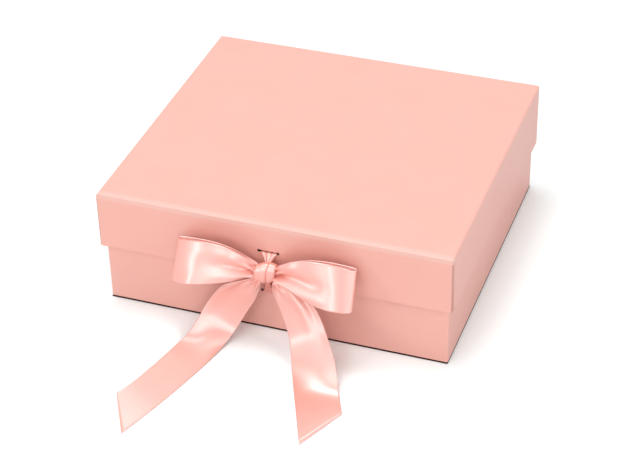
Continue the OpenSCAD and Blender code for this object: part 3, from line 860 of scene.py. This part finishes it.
pleated_strand("ribbon_upper_satin", [
    ((0.8, LID_FRONT - 6.8, 50.2), 1.2, 1.6), ((0.35, LID_FRONT - 4.8, 52.2), 1.35, 1.6),
    ((-0.1, LID_FRONT - 2.9, 54.3), 2.5, 1.3), ((-0.6, LID_FRONT - 1.0, 56.4), 4.1, 0.9),
    ((-0.75, LID_FRONT + 0.2, 56.92), 4.75, 0.55), ((-0.75, LID_FRONT + 2.0, 56.92), 4.9, 0.5),
    ((-0.75, LID_FRONT + 4.4, 56.92), 4.9, 0.5)],
    "ribbon_upper_strand")
pleated_strand("ribbon_lower_satin", [
    ((-1.0, -HALF_D - 0.3, 27.9), 5.0, 0.5), ((-0.95, -HALF_D - 0.9, 28.1), 4.9, 0.7),
    ((-0.8, -HALF_D - 3.0, 30.0), 4.1, 1.1), ((-0.1, LID_FRONT - 3.0, 34.6), 2.6, 1.5),
    ((0.2, LID_FRONT - 5.2, 39.8), 1.5, 1.7), ((0.3, LID_FRONT - 6.5, 43.5), 1.4, 1.7)],
    "ribbon_lower_strand")
# Middle, back, half width and depth of the strand inside the front wall
IN_X, IN_Y, IN_HALF, IN_DEEP = -1.2, -IN_D, 5.5, 0.6
pleated_strand("ribbon_inner_satin", [
    ((IN_X, IN_Y - 0.4, 57.75), IN_HALF, IN_DEEP), ((IN_X, IN_Y + 0.25, 57.6), IN_HALF, IN_DEEP),
    ((IN_X, IN_Y + 0.55, 56.2), IN_HALF, IN_DEEP), ((IN_X, IN_Y + 0.6, 48), IN_HALF - 0.4, IN_DEEP),
    ((IN_X, IN_Y + 0.6, 38), IN_HALF - 0.3, IN_DEEP), ((IN_X, IN_Y + 0.55, 28.7), IN_HALF, IN_DEEP),
    ((IN_X, IN_Y + 0.25, 27.2), IN_HALF, IN_DEEP), ((IN_X, IN_Y - 1.9, 27.1), IN_HALF, IN_DEEP)],
    "ribbon_inner_strand")

# ---- camera, light and floor ---------------------------------------------------

# Turned to the right of the box's front, raised and rolled (radians); place in metres; lens
AZIMUTH, ELEVATION, ROLL = 0.3543, 0.615, -0.0257
CAMERA_AT = (0.32361, -0.89943, 0.68105)
FOCAL_MM, SENSOR_MM = 107.185, 36.0

back = Vector((math.sin(AZIMUTH) * math.cos(ELEVATION), -math.cos(AZIMUTH) * math.cos(ELEVATION),
               math.sin(ELEVATION)))
right = Vector((math.cos(AZIMUTH), math.sin(AZIMUTH), 0))
up = back.cross(right)
across = right * math.cos(ROLL) + up * math.sin(ROLL)
upward = up * math.cos(ROLL) - right * math.sin(ROLL)
lens = bpy.data.cameras.new("camera")
lens.lens, lens.sensor_width = FOCAL_MM, SENSOR_MM
lens.clip_start, lens.clip_end = 0.05, 20.0
camera = new_object("camera", lens)
camera.matrix_world = Matrix((*zip(across, upward, back, CAMERA_AT), (0, 0, 0, 1)))
bpy.context.scene.camera = camera
bpy.context.scene.view_settings.view_transform = "Standard"


def lamp(name, spot, target, size, power):
    """A white rectangular lamp at a spot, turned to its target; metres and watts."""
    light = bpy.data.lights.new(name, "AREA")
    light.shape, light.size, light.size_y = "RECTANGLE", size[0], size[1]
    light.energy = power
    obj = new_object(name, light)
    obj.location = spot
    obj.rotation_euler = (Vector(target) - Vector(spot)).to_track_quat("-Z", "Y").to_euler()


# Name, place, target, size and power
lamp("key_softbox", (-0.66, -1.0, 1.35), (0, -0.02, 0.03), (0.6, 0.6), 3.1)
lamp("top_softbox", (-0.25, 0.2, 1.75), (0, 0, 0.05), (1.1, 0.8), 16.0)
lamp("front_left_strip", (-1.19, -1.05, 0.3), (0, -0.1, 0.05), (0.2, 0.5), 3.0)
lamp("front_wide", (-0.15, -1.6, 0.6), (0, -0.1, 0.05), (1.0, 0.3), 2.2)
lamp("front_high", (-0.12, -1.3, 1.1), (0, -0.12, 0.02), (0.6, 0.6), 3.4)
lamp("front_strip", (0.55, -1.5, 0.34), (0.02, -0.1, 0.05), (0.24, 0.4), 2.8)
lamp("right_softbox", (1.1, -0.3, 0.7), (0.05, -0.1, 0.03), (0.36, 0.45), 4.2)

# The room lights the box softly, and is white to the camera and in reflections
ROOM_LIGHT, ROOM_SEEN = 0.52, 1.0
world = bpy.data.worlds.new("studio")
world.use_nodes = True
bpy.context.scene.world = world
nodes, links = world.node_tree.nodes, world.node_tree.links
shade = nodes["Background"]
shade.inputs[0].default_value = (1, 1, 1, 1)
path = nodes.new("ShaderNodeLightPath")
seen = path.outputs["Is Camera Ray"]
for kind in ("Is Glossy Ray", "Is Transmission Ray"):
    either = nodes.new("ShaderNodeMath")
    either.operation = "MAXIMUM"
    links.new(seen, either.inputs[0])
    links.new(path.outputs[kind], either.inputs[1])
    seen = either.outputs[0]
level = nodes.new("ShaderNodeMapRange")
level.inputs["To Min"].default_value = ROOM_LIGHT
level.inputs["To Max"].default_value = ROOM_SEEN
links.new(seen, level.inputs["Value"])
links.new(level.outputs[0], shade.inputs["Strength"])


def floor():
    """The table: a wide disc, grey to the light and almost white to the camera."""
    size, sides, z = 3000.0, 48, -0.02
    rim = [(size * math.cos(TURN * i / sides), size * math.sin(TURN * i / sides), z)
           for i in range(sides)]
    obj = make("floor", rim, [list(range(sides))], None)
    s = Shader("floor_white")
    cloud = s.mix(s.noise(40, 3), rgb(0.70, 0.70, 0.705), rgb(0.72, 0.72, 0.72))
    seen = s.node("LightPath").outputs["Is Camera Ray"]
    open_floor = s.mix(seen, cloud, rgb(0.935, 1.0, 1.0))
    # Painted shadow: the floor under the base is dark, as contact shade where the walls stand over
    # it
    place = s.node("SeparateXYZ", {"Vector": s.coord.outputs["Object"]})
    under = 1.0
    for axis, half in enumerate((HALF_W, HALF_D)):
        off = s.calc("ABSOLUTE", place.outputs[axis])
        under = s.calc("MULTIPLY", s.calc("LESS_THAN", off, (half - 0.1) * MM), under)
    s.set(Base_Color=s.mix(under, open_floor, rgb(0.09, 0.045, 0.038)), Roughness=0.9,
          Specular_IOR_Level=0.1)
    wear(obj, s.mat)


floor()
